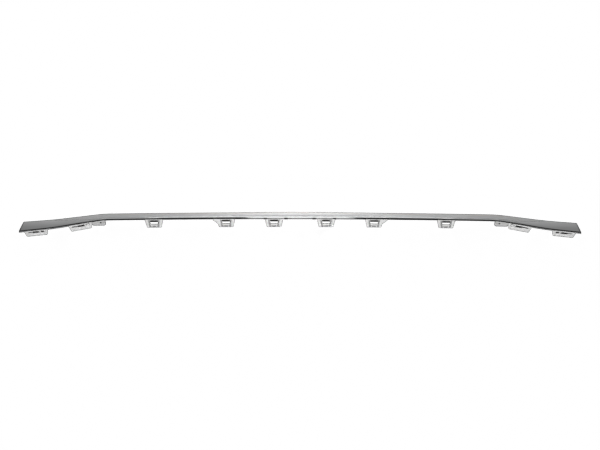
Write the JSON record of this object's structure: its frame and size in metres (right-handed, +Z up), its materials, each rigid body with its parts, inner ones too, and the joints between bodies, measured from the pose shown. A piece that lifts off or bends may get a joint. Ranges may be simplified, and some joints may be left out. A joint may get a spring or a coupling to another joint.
{
  "type": "bumper trim moulding",
  "caption": "Long, gently bowed chrome-plated trim strip with swept-back tips, a channel section and a row of windowed snap loops along its lower edge, lying face up.",
  "frame": {"origin": "middle of the bounding box's underside", "axes": "+X along the strip, +Y towards the show face's free edge, +Z up from the floor it lies on"},
  "size_m": [1.15, 0.05, 0.0179],
  "materials": {
    "chrome": "bright chrome plate on moulded ABS"
  },
  "bodies": {
    "root": {"bumper_trim": "chrome"}
  },
  "joints": []
}
